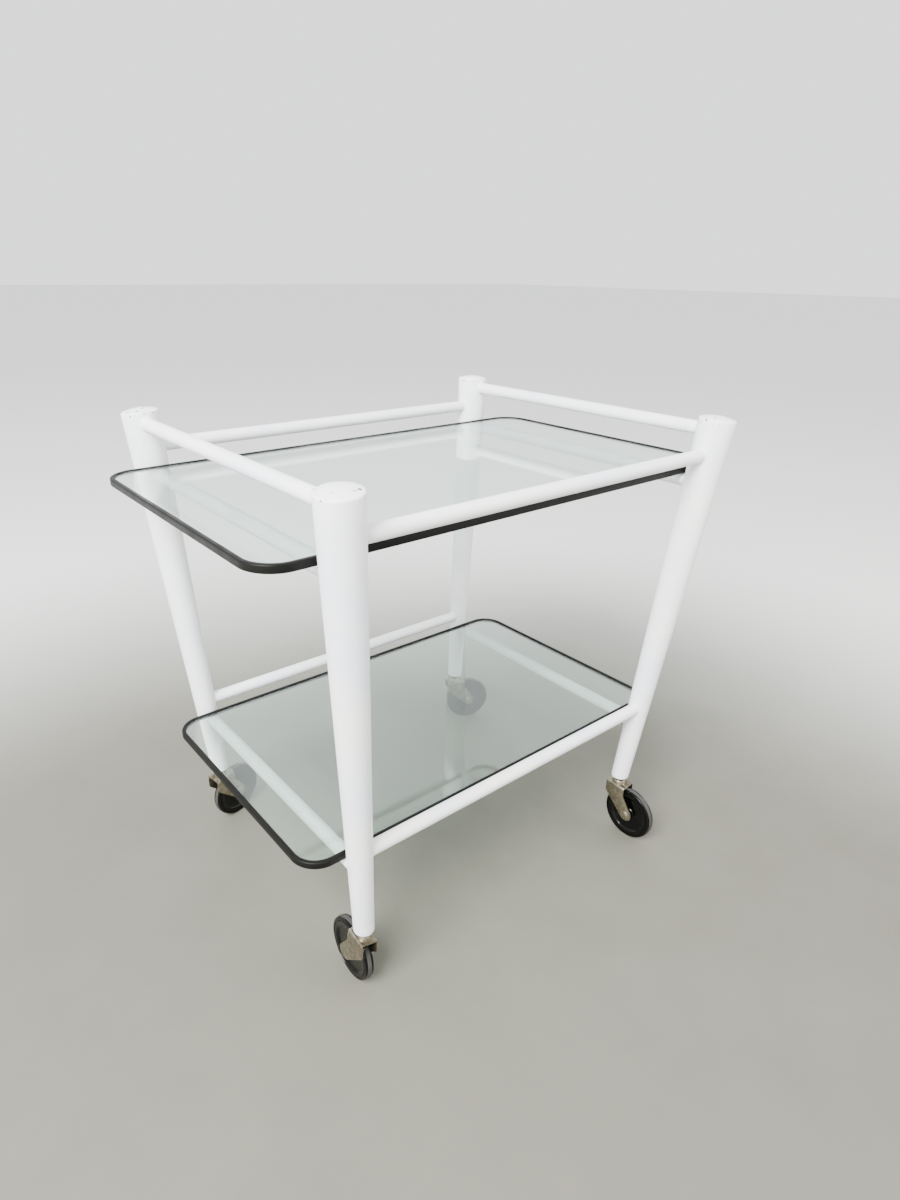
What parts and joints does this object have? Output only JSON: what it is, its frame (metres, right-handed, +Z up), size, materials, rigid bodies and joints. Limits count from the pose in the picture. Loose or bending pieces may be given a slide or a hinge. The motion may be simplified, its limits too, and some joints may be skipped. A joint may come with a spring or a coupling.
{
  "type": "serving trolley",
  "caption": "Wooden tea trolley with turned splayed legs, dowel rails, two lift-off glass shelves with round corners and black edging, and swivel casters.",
  "frame": {"origin": "centre of the trolley's outline on the floor", "axes": "+X along the length, +Y across the width towards the back, +Z up"},
  "size_m": [0.6526, 0.4743, 0.6013],
  "materials": {
    "painted_wood": "white semi-gloss brushed paint over turned hardwood",
    "glass": "clear float glass with a faint green body",
    "edging": "satin black vinyl U-shaped strip",
    "dark_steel": "darkened steel",
    "caster_steel": "dull tarnished zinc plate",
    "wheel_plastic": "black moulded plastic, worn satin",
    "tyre": "grey rubber band, scuffed",
    "bush": "dull sintered bronze bush"
  },
  "bodies": {
    "frame": {"leg_front_left": "painted_wood", "leg_front_right": "painted_wood", "leg_back_left": "painted_wood", "leg_back_right": "painted_wood", "handle_rail_left": "painted_wood", "handle_rail_right": "painted_wood", "upper_long_rail_front": "painted_wood", "upper_long_rail_back": "painted_wood", "upper_shelf_rail_left": "painted_wood", "upper_shelf_rail_right": "painted_wood", "lower_long_rail_front": "painted_wood", "lower_long_rail_back": "painted_wood", "lower_shelf_rail_left": "painted_wood", "lower_shelf_rail_right": "painted_wood", "stem_socket_front_left": "dark_steel", "stem_socket_front_right": "dark_steel", "stem_socket_back_left": "dark_steel", "stem_socket_back_right": "dark_steel"},
    "upper_shelf": {"upper_glass": "glass", "upper_edging": "edging"},
    "lower_shelf": {"lower_glass": "glass", "lower_edging": "edging"},
    "caster_front_left": {"caster_stem_front_left": "caster_steel", "thrust_washer_front_left": "dark_steel", "caster_fork_front_left": "caster_steel", "axle_rivet_front_left": "caster_steel"},
    "wheel_front_left": {"wheel_disc_front_left": "wheel_plastic", "wheel_tyre_front_left": "tyre", "wheel_bush_front_left": "bush"},
    "caster_front_right": {"caster_stem_front_right": "caster_steel", "thrust_washer_front_right": "dark_steel", "caster_fork_front_right": "caster_steel", "axle_rivet_front_right": "caster_steel"},
    "wheel_front_right": {"wheel_disc_front_right": "wheel_plastic", "wheel_tyre_front_right": "tyre", "wheel_bush_front_right": "bush"},
    "caster_back_left": {"caster_stem_back_left": "caster_steel", "thrust_washer_back_left": "dark_steel", "caster_fork_back_left": "caster_steel", "axle_rivet_back_left": "caster_steel"},
    "wheel_back_left": {"wheel_disc_back_left": "wheel_plastic", "wheel_tyre_back_left": "tyre", "wheel_bush_back_left": "bush"},
    "caster_back_right": {"caster_stem_back_right": "caster_steel", "thrust_washer_back_right": "dark_steel", "caster_fork_back_right": "caster_steel", "axle_rivet_back_right": "caster_steel"},
    "wheel_back_right": {"wheel_disc_back_right": "wheel_plastic", "wheel_tyre_back_right": "tyre", "wheel_bush_back_right": "bush"}
  },
  "joints": [
    {"name": "upper_shelf_slide", "type": "slide", "parent": "frame", "child": "upper_shelf", "axis": [1, 0, 0], "range_m": [-0.61, 0.61]},
    {"name": "lower_shelf_slide", "type": "slide", "parent": "frame", "child": "lower_shelf", "axis": [1, 0, 0], "range_m": [-0.55, 0.55]},
    {"name": "front_left_swivel", "type": "hinge", "parent": "frame", "child": "caster_front_left", "pos_m": [-0.226, -0.18, 0.0855], "axis": [0, 0, 1], "continuous": true},
    {"name": "front_left_roll", "type": "hinge", "parent": "caster_front_left", "child": "wheel_front_left", "pos_m": [-0.22472, -0.15553, 0.0375], "axis": [0.9986, -0.0523, 0], "continuous": true},
    {"name": "front_right_swivel", "type": "hinge", "parent": "frame", "child": "caster_front_right", "pos_m": [0.226, -0.18, 0.0855], "axis": [0, 0, 1], "continuous": true},
    {"name": "front_right_roll", "type": "hinge", "parent": "caster_front_right", "child": "wheel_front_right", "pos_m": [0.22557, -0.2045, 0.0375], "axis": [-0.9998, 0.0175, 0], "continuous": true},
    {"name": "back_left_swivel", "type": "hinge", "parent": "frame", "child": "caster_back_left", "pos_m": [-0.226, 0.18, 0.0855], "axis": [0, 0, 1], "continuous": true},
    {"name": "back_left_roll", "type": "hinge", "parent": "caster_back_left", "child": "wheel_back_left", "pos_m": [-0.20233, 0.18634, 0.0375], "axis": [0.2588, -0.9659, 0], "continuous": true},
    {"name": "back_right_swivel", "type": "hinge", "parent": "frame", "child": "caster_back_right", "pos_m": [0.226, 0.18, 0.0855], "axis": [0, 0, 1], "continuous": true},
    {"name": "back_right_roll", "type": "hinge", "parent": "caster_back_right", "child": "wheel_back_right", "pos_m": [0.24821, 0.16965, 0.0375], "axis": [-0.4226, -0.9063, 0], "continuous": true}
  ]
}
